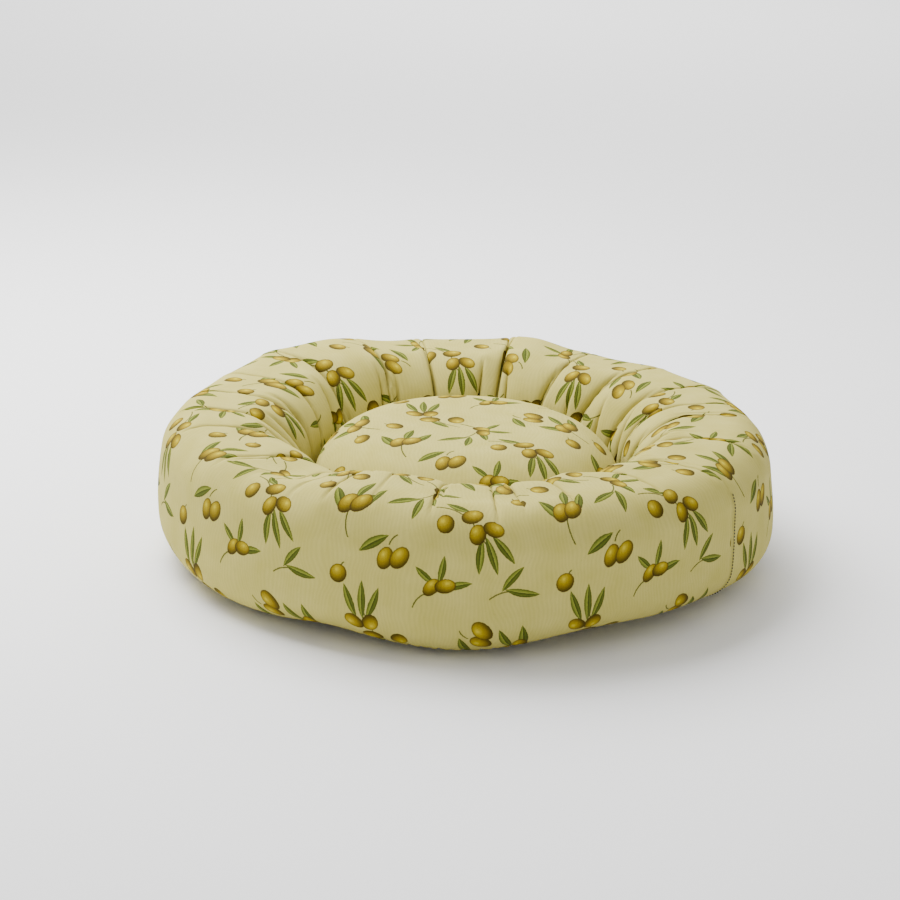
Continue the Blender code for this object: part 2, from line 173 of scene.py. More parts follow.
# Pleats: degrees clockwise from the back of the bed at the foot of the well, how deep the cloth is folded,
# and how many degrees the fold leans by the top of the bolster
PLEATS = [
    (-92, 0.7, 0),
    (-81, 0.8, 3),
    (-70, 0.9, 5),
    (-60, 1.1, 6),
    (-48, 1.2, 2),
    (-27, 1.6, 4),
    (3, 1.0, 0),
    (15, 1.5, 0),
    (41, 1.0, -5),
    (57, 0.9, -4),
    (72, 0.9, -3),
    (88, 0.8, 0),
    (104, 0.8, 0),
    (124, 0.9, 0),
    (147, 1.0, 0),
    (167, 0.9, 0),
    (184, 1.1, 0),
    (190, 0.6, 0),
    (206, 0.8, 0),
    (222, 0.9, 0),
    (238, 0.8, 0),
    (253, 0.8, 0),
]

# Lumps in the stuffing: degrees clockwise from the back, height round the tube's section in degrees from
# its outer side, spread along and up the tube, and how far the cloth stands out, in mm
LUMPS = [
    (-36, 95, 11, 45, 11),
    (-52, 80, 12, 45, 4),
    (-14, 90, 9, 40, -2),
    (16, 85, 7, 40, 7),
    (34, 80, 16, 40, -4),
    (180, -50, 16, 35, 6),
    (153, -58, 16, 28, -12),
    (128, -50, 14, 28, -6),
    (207, -50, 9, 25, -5),
    (234, -35, 20, 35, 6),
    (98, -15, 22, 45, 9),
    (266, 0, 26, 55, 10),
    (225, 108, 11, 38, -16),
    (247, 118, 10, 38, -7),
    (264, 140, 13, 35, -8),
    (203, 105, 9, 40, 4),
    (176, 95, 12, 30, -4),
]


def clockwise_from_back(points):
    return np.degrees(np.arctan2(points[..., 0], points[..., 1]))


def lumpy(points, section):
    """Moves the cloth out or in where the stuffing is thick or thin. section is each row's angle."""
    azimuth = clockwise_from_back(points)
    push = np.zeros(azimuth.shape)
    for where, height, spread, tall, amount in LUMPS:
        off = turn_between(azimuth, where) / spread
        above = (section[None, :] - height) / tall
        push += amount / 1000 * np.exp(-(off ** 2) - above ** 2)
    radius = np.hypot(points[..., 0], points[..., 1])
    lean = np.radians(section)[None, :]
    out = points.copy()
    grow = (radius + push * np.cos(lean)) / radius
    out[..., 0] *= grow
    out[..., 1] *= grow
    out[..., 2] = np.clip(points[..., 2] + push * np.sin(lean), LUMP_FLOOR, LUMP_TOP)
    return out


def bolster_cloth():
    """Columns run round the bed from the closing seam, and rows from the outer seam to the inner one."""
    columns, rows = 320, 65
    rng = np.random.default_rng(7)
    section = np.linspace(-SEAM_ANGLE, 180 + SEAM_ANGLE, rows)
    lean = np.radians(section)[None, :]
    turn = np.radians(SEAM_AZIMUTH) + (np.arange(columns) / columns * 2 * np.pi)[:, None]
    fold = np.zeros((columns, rows))
    over = np.clip((180 - section) / 90, 0, 1.2)[None, :]
    for pleat, depth, slant in PLEATS:
        pleat -= PLEAT_CREEP * math.cos(math.radians(pleat))
        off = turn_between(np.degrees(turn), 90 - pleat - slant * over)
        fold = np.maximum(fold, depth * np.exp(-((off / PLEAT_WIDTH) ** 2)))
    inset = PLEAT_DEPTH * fold * np.clip(0.25 - np.cos(lean), 0, 1) ** 0.8
    radius = RING_RADIUS + (TUBE_WIDE - inset) * np.cos(lean)
    height = TUBE_MIDDLE + (TUBE_TALL - inset) * np.sin(lean) + 0 * turn
    points = np.stack([radius * np.cos(turn), radius * np.sin(turn), height], -1)
    shake = rng.normal(0, 0.0004, points.shape)
    shake[:, [0, -1]] = 0
    points += shake

    def limits(cloth):
        radius = np.hypot(cloth[..., 0], cloth[..., 1])
        keep = np.clip(radius, WELL_LIMIT, OUTER_LIMIT) / radius
        cloth[..., :2] *= keep[..., None]
        np.clip(cloth[..., 2], FLOOR_LIMIT, TOP_LIMIT, out=cloth[..., 2])

    def settle(cloth, steps, least):
        columns, rows, _ = cloth.shape
        across = np.full(rows, STRIP_LENGTH / columns)
        return relaxed(cloth, across, STRIP_WIDTH / (rows - 1), steps, 3.0, 0.06, [0, -1], limits, least)

    points = settle(points, 420, 0.0006)
    points = settle(refined(points), 110, 0.0004)
    points = lumpy(points, np.linspace(-SEAM_ANGLE, 180 + SEAM_ANGLE, points.shape[1]))
    points[0] -= outward(points)[0] * SEAM_PULL
    points[[1, -1]] += outward(points)[[1, -1]] * SEAM_LIP
    return points


def grid_mesh(name, points, close_rows=False, caps=False):
    """A quad mesh of columns by rows, shaded smooth."""
    columns, rows, _ = points.shape
    i = np.arange(columns)[:, None]
    last = rows if close_rows else rows - 1
    j = np.arange(last)[None, :]
    corner = [i * rows + j, (i + 1) % columns * rows + j]
    corner += [(i + 1) % columns * rows + (j + 1) % rows, i * rows + (j + 1) % rows]
    quads = np.stack([c + 0 * (i + j) for c in corner], -1).reshape(-1, 4).tolist()
    if caps:
        quads += [list(range((columns - 1) * rows, -1, -rows))]
        quads += [list(range(rows - 1, columns * rows, rows))]
    mesh = bpy.data.meshes.new(name)
    mesh.from_pydata(points.reshape(-1, 3).tolist(), [], quads)
    mesh.update()
    mesh.shade_smooth()
    return mesh


def placed(name, data):
    obj = bpy.data.objects.new(name, data)
    bpy.context.scene.collection.objects.link(obj)
    return obj


def piece(name, mesh, body, node):
    """Puts a finished mesh in the scene, on its body and in the place of its node."""
    obj = placed(name, mesh)
    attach(obj, body)
    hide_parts(node)
    return obj


def flat_map(mesh, columns, rows, u, v, close_rows=False):
    """Writes the UV map from each column's u (one more than the columns) and each row's v."""
    layer = mesh.uv_layers.new(name="cloth")
    last = rows if close_rows else rows - 1
    i = np.arange(columns)[:, None] + np.zeros((1, last), int)
    j = np.arange(last)[None, :] + np.zeros((columns, 1), int)
    us = np.stack([u(i, j), u(i + 1, j), u(i + 1, j + 1), u(i, j + 1)], -1)
    vs = np.stack([v(i, j), v(i + 1, j), v(i + 1, j + 1), v(i, j + 1)], -1)
    values = np.zeros((len(mesh.loops), 2))
    count = columns * last * 4
    values[:count, 0] = us.reshape(-1)
    values[:count, 1] = vs.reshape(-1)
    if len(mesh.loops) > count:
        ring = np.arange(columns)
        for at, ring, row in ((count, ring[::-1], 0), (count + columns, ring, last)):
            fixed = np.full(columns, row)
            values[at : at + columns, 0] = u(ring, fixed)
            values[at : at + columns, 1] = v(ring, fixed)
    layer.data.foreach_set("uv", values.reshape(-1))


BOLSTER = bolster_cloth()


def bolster_cover():
    """Closes the form underneath with a few rows that lie just above the base."""
    columns, rows, _ = BOLSTER.shape
    under, height, crown = 8, 0.0031, 0.0006
    share = np.linspace(0, 1, under + 2)[1:-1][None, :, None]
    back = BOLSTER[:, -1:] * (1 - share) + BOLSTER[:, :1] * share
    back[..., 2] = height + crown * np.sin(np.pi * share[..., 0])
    closed = np.concatenate([BOLSTER, back], 1)
    mesh = grid_mesh("bolster_cover_cloth", closed, close_rows=True)
    flat_map(
        mesh,
        columns,
        closed.shape[1],
        lambda i, j: i / columns * STRIP_LENGTH,
        lambda i, j: j / (rows - 1) * STRIP_WIDTH,
        close_rows=True,
    )
    obj = piece("bolster_cover_cloth", mesh, "ring", "bolster_cover")
    return obj


BOLSTER_COVER = bolster_cover()


# ---------------------------------------------------------------- the olive-print canvas
# Cotton canvas, printed with golden olives and leaves on a pale ground. It is thick and matt, with a soft
# rib. The rib and the threads are drawn about twice as coarse as the real ones, so that they show.

RIB_PITCH = 3.7
THREAD_PITCH = 1.1


def linear(colour):
    """An sRGB hex colour as the linear colour that shaders take."""
    parts = [int(colour[i : i + 2], 16) / 255 for i in (1, 3, 5)]
    return (*[c / 12.92 if c <= 0.04045 else ((c + 0.055) / 1.055) ** 2.4 for c in parts], 1.0)


def add(tree, kind, inputs=None, stops=(), **settings):
    """Adds a node with its settings and links.

    inputs maps its sockets to values, or to the nodes or sockets that feed them. A colour ramp has stops of
    (position, hex colour, alpha).
    """
    made = tree.nodes.new(kind)
    for name, value in settings.items():
        setattr(made, name, value)
    for socket, value in (inputs or {}).items():
        if isinstance(value, bpy.types.Node):
            value = value.outputs[0]
        if isinstance(value, bpy.types.NodeSocket):
            tree.links.new(value, made.inputs[socket])
        else:
            made.inputs[socket].default_value = value
    for count, (position, colour, alpha) in enumerate(stops):
        if count >= len(made.color_ramp.elements):
            made.color_ramp.elements.new(1.0)
        element = made.color_ramp.elements[count]
        element.position = position
        element.color = (*linear(colour)[:3], alpha)
    return made


def printed_group(name, draw):
    """A node group that prints one shape over the colour it is given."""
    group = bpy.data.node_groups.new(name, "ShaderNodeTree")
    for label, kind in (
        ("Under", "Color"),
        ("Spot", "Vector"),
        ("Place", "Vector"),
        ("Turn", "Vector"),
        ("Half size", "Vector"),
        ("Bow", "Float"),
    ):
        group.interface.new_socket(label, in_out="INPUT", socket_type="NodeSocket" + kind)
    group.interface.new_socket("Colour", in_out="OUTPUT", socket_type="NodeSocketColor")
    group.interface.new_socket("Spot", in_out="OUTPUT", socket_type="NodeSocketVector")
    given = group.nodes.new("NodeGroupInput").outputs
    fed = {"Vector": given["Spot"], "Location": given["Place"], "Rotation": given["Turn"]}
    fed["Scale"] = given["Half size"]
    local = add(group, "ShaderNodeMapping", fed, vector_type="TEXTURE")
    share, colour = draw(group, local, given["Bow"])
    over = add(group, "ShaderNodeMix", {0: share, 6: given["Under"], 7: colour}, data_type="RGBA")
    over = over.outputs[2]
    after = waiting(group, over, given["Spot"])
    add(group, "NodeGroupOutput", {"Colour": over, "Spot": after})
    return group


def waiting(tree, colour, spot):
    """The same spot, but worked out after the colour, so that the print is drawn one shape at a time."""
    fed = {0: colour, 1: (1e-6, 1e-6, 1e-6), 2: spot}
    return add(tree, "ShaderNodeVectorMath", fed, operation="MULTIPLY_ADD")


def draw_leaf(tree, local, bow):
    """A pointed leaf, dark on one side of its midrib and paler on the other."""
    parts = add(tree, "ShaderNodeSeparateXYZ", {0: local}).outputs
    square = add(tree, "ShaderNodeMath", {0: parts[0], 1: parts[0]}, operation="MULTIPLY")
    taper = add(tree, "ShaderNodeMath", {0: 1.0, 1: square}, operation="SUBTRACT")
    taper = add(tree, "ShaderNodeMath", {0: taper, 1: 0.002}, operation="MAXIMUM")
    bowed = add(tree, "ShaderNodeMath", {0: square, 1: bow, 2: parts[1]}, operation="MULTIPLY_ADD")
    across = add(tree, "ShaderNodeMath", {0: bowed, 1: taper}, operation="DIVIDE")
    tone = add(
        tree,
        "ShaderNodeValToRGB",
        {"Fac": add(tree, "ShaderNodeMath", {0: across, 1: 0.5, 2: 0.5}, operation="MULTIPLY_ADD")},
        stops=[
            (0.0, "#3a4110", 0),
            (0.05, "#363d0e", 1),
            (0.24, "#565f1a", 1),
            (0.44, "#424a10", 1),
            (0.5, "#2a300a", 1),
            (0.56, "#868c32", 1),
            (0.76, "#697222", 1),
            (0.94, "#414912", 1),
            (1.0, "#414912", 0),
        ],
    )
    return tone.outputs[1], tone.outputs[0]


def draw_olive(tree, local, bow):
    """A ripe golden olive, pale where it catches the light and brown round its rim."""
    reach = add(tree, "ShaderNodeVectorMath", {0: local}, operation="LENGTH").outputs["Value"]
    glow = add(tree, "ShaderNodeVectorMath", {0: local, 1: (0.25, 0.35, 0)}, operation="DISTANCE")
    body = add(
        tree,
        "ShaderNodeValToRGB",
        {"Fac": add(tree, "ShaderNodeMath", {0: glow.outputs["Value"], 1: 0.7}, operation="MULTIPLY")},
        stops=[
            (0.0, "#c4b42c", 1),
            (0.2, "#a48f12", 1),
            (0.5, "#816c09", 1),
            (0.75, "#564805", 1),
            (1.0, "#332a04", 1),
        ],
    )
    rim = add(
        tree,
        "ShaderNodeValToRGB",
        {"Fac": add(tree, "ShaderNodeMath", {0: reach, 1: 0.9}, operation="MULTIPLY")},
        stops=[(0.72, "#3c2d08", 0), (0.86, "#3c2d08", 0.9)],
    ).outputs
    colour = add(tree, "ShaderNodeMix", {0: rim[1], 6: body, 7: rim[0]}, data_type="RGBA").outputs[2]
    share = add(tree, "ShaderNodeMapRange", {0: reach, 1: 1.0, 2: 0.94, 3: 0.0, 4: 1.0})
    return share, colour


def draw_stem(tree, local, bow):
    """A thin curved stalk. It fills half the width it is given and fades out at its edges."""
    parts = add(tree, "ShaderNodeSeparateXYZ", {0: local}).outputs
    square = add(tree, "ShaderNodeMath", {0: parts[0], 1: parts[0]}, operation="MULTIPLY")
    taper = add(tree, "ShaderNodeMath", {0: 1.0, 1: square}, operation="SUBTRACT")
    curve = add(tree, "ShaderNodeMath", {0: taper, 1: bow}, operation="MULTIPLY")
    height = add(tree, "ShaderNodeMath", {0: parts[1], 1: curve}, operation="SUBTRACT")
    off = add(tree, "ShaderNodeMath", {0: height}, operation="ABSOLUTE")
    line = add(tree, "ShaderNodeMapRange", {0: off, 1: 0.75, 2: 0.4, 3: 0.0, 4: 0.9})
    within = add(tree, "ShaderNodeMath", {0: taper, 1: 0.0}, operation="GREATER_THAN")
    return add(tree, "ShaderNodeMath", {0: line, 1: within}, operation="MULTIPLY"), linear("#3a400a")


PRINT_SHAPES = {
    "leaf": printed_group("printed_leaf", draw_leaf),
    "olive": printed_group("printed_olive", draw_olive),
    "stem": printed_group("printed_stem", draw_stem),
}

# Each spray of the print: (shape, x, y, angle, length, width, bow), in millimetres and degrees of its own
SPRAYS = {
    "sprig": [
        ("stem", 3, -15, 106, 28, 2.4, 2.0),
        ("leaf", -15, 4, 128, 34, 11, 0.15),
        ("leaf", 15, 14, 62, 38, 10, -0.2),
        ("leaf", 1, 24, 84, 32, 9, 0.2),
        ("olive", -5, 2, 72, 24, 17, 0),
        ("olive", 7, 6, 60, 25, 17, 0),
    ],
    "spray": [
        ("stem", -17, 14, -30, 36, 2.4, 4.0),
        ("stem", 8, -6, -60, 30, 2.4, -2.0),
        ("leaf", -12, 22, 150, 26, 8, 0.2),
        ("leaf", 6, -27, -98, 34, 8, -0.15),
        ("leaf", 17, -27, -76, 38, 8, 0.15),
        ("leaf", 28, -22, -56, 34, 8, 0.2),
        ("olive", -24, 4, 85, 19, 17, 0),
        ("olive", 1, 11, 15, 22, 16, 0),
        ("olive", 5, -7, 75, 20, 16, 0),
        ("olive", 20, -3, -25, 21, 15, 0),
    ],
    "pair": [
        ("stem", 2, 14, 60, 12, 2.4, 1.0),
        ("leaf", -16, 8, 38, 32, 10, 0.2),
        ("olive", -3, -4, 78, 23, 15, 0),
        ("olive", 10, -1, 62, 24, 16, 0),
    ],
    "small": [
        ("stem", -17, -8, 26, 20, 2.4, 2.0),
        ("leaf", -5, 12, 116, 24, 7, 0.15),
        ("leaf", 12, 12, 58, 28, 7, -0.2),
        ("leaf", 19, -6, -8, 28, 8, 0.2),
        ("olive", -3, 0, 28, 20, 13, 0),
        ("olive", 9, -3, -12, 20, 14, 0),
    ],
    "twin": [
        ("stem", 0, -11, 84, 20, 2.4, 1.5),
        ("leaf", -9, 6, 112, 30, 8, 0.25),
        ("leaf", 8, 8, 52, 33, 8, -0.25),
    ],
    "single": [
        ("stem", 1, 10, 80, 6, 2.4, 0.6),
        ("olive", 0, 0, 80, 19, 17, 0),
    ],
}

# One repeat of the print, in millimetres: (spray, x, y, turn in degrees)
PRINT_REPEAT = (208.0, 200.0)
PRINT_LAYOUT = [
    ("sprig", 24, 168, -8),
    ("twin", 82, 186, 150),
    ("spray", 140, 158, 4),
    ("single", 190, 192, 30),
    ("pair", 66, 128, -6),
    ("small", 108, 102, 22),
    ("single", 18, 104, -20),
    ("twin", 176, 100, -62),
    ("spray", 52, 52, 168),
    ("pair", 148, 52, 74),
    ("sprig", 186, 28, 34),
    ("small", 100, 14, -68),
    ("single", 14, 18, 60),
]


def olive_print(tree, spot, ground):
    """Prints the whole repeat over the ground colour. spot is the place on the flat cloth in mm."""
    colour = ground
    width, height = PRINT_REPEAT
    for spray, x, y, turn in PRINT_LAYOUT:
        spot = waiting(tree, colour, spot)
        apart = add(tree, "ShaderNodeVectorMath", {0: spot, 1: (x, y, 0)}, operation="SUBTRACT")
        high, low = (width / 2, height / 2, 1), (-width / 2, -height / 2, -1)
        near = add(tree, "ShaderNodeVectorMath", {0: apart, 1: high, 2: low}, operation="WRAP")
        whole = Matrix.Rotation(math.radians(turn), 2)
        for shape, px, py, angle, length, across, bow in SPRAYS[spray]:
            place = whole @ Vector((px, py))
            fed = {
                "Under": colour,
                "Spot": near,
                "Place": (place.x, place.y, 0),
                "Turn": (0, 0, math.radians(angle + turn)),
                "Half size": (length / 2, across / 2, 1),
                "Bow": bow,
            }
            colour, near = add(tree, "ShaderNodeGroup", fed, node_tree=PRINT_SHAPES[shape]).outputs
    return colour


def new_material(name):
    made = bpy.data.materials.new(name)
    made.use_nodes = True
    return made, made.node_tree, made.node_tree.nodes["Principled BSDF"]


def finish(tree, shader, colour, bump, roughness, specular=0.5, sheen=0.0):
    """Feeds a material's colour and relief, and sets what is the same all over its surface."""
    tree.links.new(colour, shader.inputs["Base Color"])
    tree.links.new(bump.outputs[0], shader.inputs["Normal"])
    shader.inputs["Roughness"].default_value = roughness
    shader.inputs["Specular IOR Level"].default_value = specular
    shader.inputs["Sheen Weight"].default_value = sheen


def wave(tree, place, pitch):
    """A sine along one coordinate, one wave every pitch."""
    turn = add(tree, "ShaderNodeMath", {0: place, 1: 2 * math.pi / pitch}, operation="MULTIPLY")
    return add(tree, "ShaderNodeMath", {0: turn}, operation="SINE")


def printed_canvas():
    """Cotton canvas with a soft vertical rib, slubs in its yarn and the olive print."""
    made, tree, shader = new_material("olive_print_canvas")
    flat = add(tree, "ShaderNodeUVMap", uv_map="cloth")
    spot = add(tree, "ShaderNodeVectorMath", {0: flat, "Scale": 1000.0}, operation="SCALE")
    slub = add(tree, "ShaderNodeMapping", {"Vector": spot, "Scale": (1.6, 0.12, 1.0)})
    slubs, cloud, bend, fray, grain = (
        add(tree, "ShaderNodeTexNoise", {"Vector": place, "Scale": scale, "Detail": detail})
        for place, scale, detail in (
            (slub, 1.0, 2.0),
            (spot, 0.035, 3.0),
            (spot, 0.02, 1.0),
            (spot, 0.9, 2.0),
            (spot, 1.1, 4.0),
        )
    )
    parts = add(tree, "ShaderNodeSeparateXYZ", {0: spot}).outputs
    along = add(tree, "ShaderNodeMath", {0: bend, 1: 26.0, 2: parts[0]}, operation="MULTIPLY_ADD")
    rib = wave(tree, along, RIB_PITCH)
    warp, weft = wave(tree, parts[0], THREAD_PITCH), wave(tree, parts[1], THREAD_PITCH)
    weave = add(tree, "ShaderNodeMath", {0: warp, 1: weft}, operation="MULTIPLY")
    ground = add(tree, "ShaderNodeValToRGB", {0: cloud}, stops=[(0.3, "#b4aa58", 1), (0.7, "#bdb364", 1)])
    # The ink has spread into the threads, so its edges are a little uneven and its colours mottled.
    shifts = {0: fray.outputs["Color"], 1: (1.3, 1.3, 0), 2: spot}
    inked = add(tree, "ShaderNodeVectorMath", shifts, operation="MULTIPLY_ADD")
    colour = olive_print(tree, inked, ground)
    ink = add(tree, "ShaderNodeVectorMath", {0: colour, 1: ground}, operation="DISTANCE").outputs["Value"]
    ink = add(tree, "ShaderNodeMath", {0: ink, 1: 4.0}, operation="MULTIPLY", use_clamp=True)
    grain = add(tree, "ShaderNodeMath", {0: grain, 1: 0.5}, operation="SUBTRACT")
    mottle = add(tree, "ShaderNodeMath", {0: grain, 1: ink}, operation="MULTIPLY")
    tone = add(tree, "ShaderNodeMath", {0: slubs, 1: 0.16, 2: 0.93}, operation="MULTIPLY_ADD")
    # The rib and the weave make the colour darker in their furrows and lighter on their ridges: painted
    # shade and light of the relief that the bump also draws.
    for pattern, share in ((rib, 0.035), (weave, 0.03), (mottle, 1.1)):
        tone = add(tree, "ShaderNodeMath", {0: pattern, 1: share, 2: tone}, operation="MULTIPLY_ADD")
    shade = add(tree, "ShaderNodeCombineColor", {0: tone, 1: tone, 2: tone})
    shaded = add(
        tree, "ShaderNodeMix", {0: 1.0, 6: colour, 7: shade}, data_type="RGBA", blend_type="MULTIPLY"
    ).outputs[2]
    height = add(tree, "ShaderNodeMath", {0: rib, 1: 0.35, 2: weave}, operation="MULTIPLY_ADD")
    height = add(tree, "ShaderNodeMath", {0: slubs, 1: 1.2, 2: height}, operation="MULTIPLY_ADD")
    bump = add(tree, "ShaderNodeBump", {"Height": height, "Strength": 0.5, "Distance": 0.00012})
    finish(tree, shader, shaded, bump, 0.88, specular=0.12)
    return made


CANVAS_CLOTH = printed_canvas()
BOLSTER_COVER.data.materials.append(CANVAS_CLOTH)


# ================================================================ bolster filling
# Loose polyester fibre is pushed in through the closing seam before that is sewn up. It fills the cover and
# stays out of the pleats.

FILL_CLEARANCE = 0.0015
FILL_FLOOR = 0.0038


def fibre():
    """White hollow polyester fibre: matt wisps with a slight sheen."""
    made, tree, shader = new_material("polyester_fibre")
    place = add(tree, "ShaderNodeTexCoord").outputs["Object"]
    curled = {"Vector": place, "Scale": 160.0, "Detail": 6.0, "Distortion": 1.5}
    wisps = add(tree, "ShaderNodeTexNoise", curled)
    colour = add(tree, "ShaderNodeValToRGB", {0: wisps}, stops=[(0.35, "#d9d9d6", 1), (0.7, "#f4f4f2", 1)])
    bump = add(tree, "ShaderNodeBump", {"Height": wisps, "Strength": 0.8, "Distance": 0.002})
    finish(tree, shader, colour.outputs[0], bump, 0.95, sheen=0.4)
    return made


FIBRE = fibre()


def bolster_filling():
    """A ring that keeps inside the deepest pleat near each of its points."""
    turns, angles = 180, 48
    apart = np.hypot(BOLSTER[..., 0], BOLSTER[..., 1]) - RING_RADIUS
    above = BOLSTER[..., 2] - TUBE_MIDDLE
    reach = np.hypot(apart, above)
    turn = np.degrees(np.arctan2(BOLSTER[..., 1], BOLSTER[..., 0])) % 360
    angle = np.degrees(np.arctan2(above, apart)) % 360
    size = np.full((turns, angles), 0.08)
    slot = (turn * turns / 360).astype(int) % turns, (angle * angles / 360).astype(int) % angles
    np.minimum.at(size, slot, reach)
    under = (np.arange(angles) + 0.5) / angles * 2 * np.pi
    floor_reach = (TUBE_MIDDLE - FILL_FLOOR) / np.maximum(-np.sin(under), 0.05)
    size = np.minimum(size, floor_reach[None, :])
    size = np.min([np.roll(size, (a, b), (0, 1)) for a in (-1, 0, 1) for b in (-1, 0, 1)], 0)
    for _ in range(3):
        size = (2 * size + np.roll(size, 1, 0) + np.roll(size, -1, 0)) / 4
        size = (2 * size + np.roll(size, 1, 1) + np.roll(size, -1, 1)) / 4
    size = np.minimum(size - FILL_CLEARANCE, floor_reach[None, :])
    around = ((np.arange(turns) + 0.5) / turns * 2 * np.pi)[:, None]
    radius = RING_RADIUS + size * np.cos(under)
    height = TUBE_MIDDLE + size * np.sin(under)
    points = np.stack([radius * np.cos(around), radius * np.sin(around), height], -1)
    mesh = grid_mesh("bolster_fibre", points, close_rows=True)
    mesh.materials.append(FIBRE)
    obj = piece("bolster_fibre", mesh, "ring", "bolster_fill")


bolster_filling()


# ================================================================ base
# A disc of black hard-wearing cloth, cut 544 mm across, closes the bolster underneath. Its rim turns up a
# little and is sewn to the bolster's outer edge. Where that edge stands off the floor, the disc draws back.

BASE_CLOTH = 0.0012
BASE_RIM_ROWS = 4
RIM_GAP = 0.0005
BASE_INSET = 0.006
BASE_DRAW = 2.6
FOOT_HEIGHT = 0.0030
MIDDLE_RADIUS = 0.002


def disc_mesh(name, low, top):
    """A thin closed disc of two faces, each as columns by rings from the middle to the rim."""
    return grid_mesh(name, np.concatenate([low, top[:, ::-1]], 1), caps=True)


def woven(name, colour, dark, pitch, sheen=0.2):
    """Plain-woven cloth, matt and finely grained. pitch is its thread spacing in mm, coarse to show."""
    made, tree, shader = new_material(name)
    place = add(tree, "ShaderNodeTexCoord").outputs["Object"]
    place = add(tree, "ShaderNodeVectorMath", {0: place, "Scale": 1000.0}, operation="SCALE")
    parts = add(tree, "ShaderNodeSeparateXYZ", {0: place}).outputs
    warp, weft = wave(tree, parts[0], pitch), wave(tree, parts[1], pitch)
    weave = add(tree, "ShaderNodeMath", {0: warp, 1: weft}, operation="MULTIPLY")
    cloud = add(tree, "ShaderNodeTexNoise", {"Vector": place, "Scale": 0.05, "Detail": 3.0})
    # The weave makes the colour darker where its threads dip and lighter where they cross over: painted
    # shade and light of the relief that the bump also draws. The cloud is the cloth's own uneven tone.
    tone = add(tree, "ShaderNodeMath", {0: weave, 1: 0.12, 2: cloud}, operation="MULTIPLY_ADD")
    base = add(tree, "ShaderNodeValToRGB", {0: tone}, stops=[(0.25, dark, 1), (0.75, colour, 1)])
    bump = add(tree, "ShaderNodeBump", {"Height": weave, "Strength": 0.5, "Distance": 0.00015})
    finish(tree, shader, base.outputs[0], bump, 0.9, 0.2, sheen)
    return made


def base_panel():
    columns = BOLSTER.shape[0] // 4
    rows, lean = BOLSTER[:, :BASE_RIM_ROWS], outward(BOLSTER)[:, :BASE_RIM_ROWS]
    for _ in range(12):
        rows, lean = ((2 * k + np.roll(k, 1, 0) + np.roll(k, -1, 0)) / 4 for k in (rows, lean))
    rows, lean = rows[::4], lean[::4]
    turn = np.arctan2(rows[:, :1, 1], rows[:, :1, 0])
    foot = np.hypot(rows[:, :1, 0], rows[:, :1, 1])
    edge = foot - BASE_INSET - BASE_DRAW * (rows[:, :1, 2] - FOOT_HEIGHT)
    middle = np.full((columns, 1), MIDDLE_RADIUS)
    radius = np.concatenate([middle, edge * np.linspace(0.08, 1, 14)[None, :]], 1)
    flat = np.stack([radius * np.cos(turn), radius * np.sin(turn), 0 * radius], -1)
    upper = np.concatenate([flat + (0, 0, BASE_CLOTH), rows + lean * RIM_GAP], 1)
    lower = np.concatenate([flat, rows + lean * (RIM_GAP + BASE_CLOTH)], 1)
    lower[..., 2] = np.maximum(lower[..., 2], 0)
    mesh = disc_mesh("base_panel_cloth", lower, upper)
    mesh.materials.append(woven("black_base_cloth", "#1d1d1f", "#121213", 1.4, 0.1))
    obj = piece("base_panel_cloth", mesh, "ring", "base_panel")


base_panel()


# ================================================================ lining
# A disc of plain cotton, 503 mm across, lies over the base inside the bolster. It is the floor of the well,
# and the stuffed ring lies on its rim and holds it.

LINING_CLOTH = 0.0007
LINING_HEIGHT = 0.00152
LINING_RADIUS = 0.2505
LINING_INSET = 0.003
LINING_DRAW = 3.0


def lining():
    foot = BOLSTER[::4, :1]
    turn = np.arctan2(foot[..., 1], foot[..., 0])
    edge = np.hypot(foot[..., 0], foot[..., 1]) - LINING_INSET - LINING_DRAW * (foot[..., 2] - FOOT_HEIGHT)
    reach = np.minimum(edge, LINING_RADIUS) - MIDDLE_RADIUS
    radius = MIDDLE_RADIUS + reach * np.linspace(0, 1, 12)[None, :]
    low = np.stack([radius * np.cos(turn), radius * np.sin(turn), LINING_HEIGHT + 0 * radius], -1)
    mesh = disc_mesh("well_lining_cloth", low, low + (0, 0, LINING_CLOTH))
    mesh.materials.append(woven("plain_cotton_lining", "#d8d0b4", "#c5bc9c", 1.2))
    obj = piece("well_lining_cloth", mesh, "ring", "lining_panel")


lining()


# ================================================================ seams of the bolster
# Lockstitch in sewing thread. A dark seam closes the strip into a ring at the front right, another dark one
# joins cover and base round the rim, and a beige one holds the gathers down round the well.


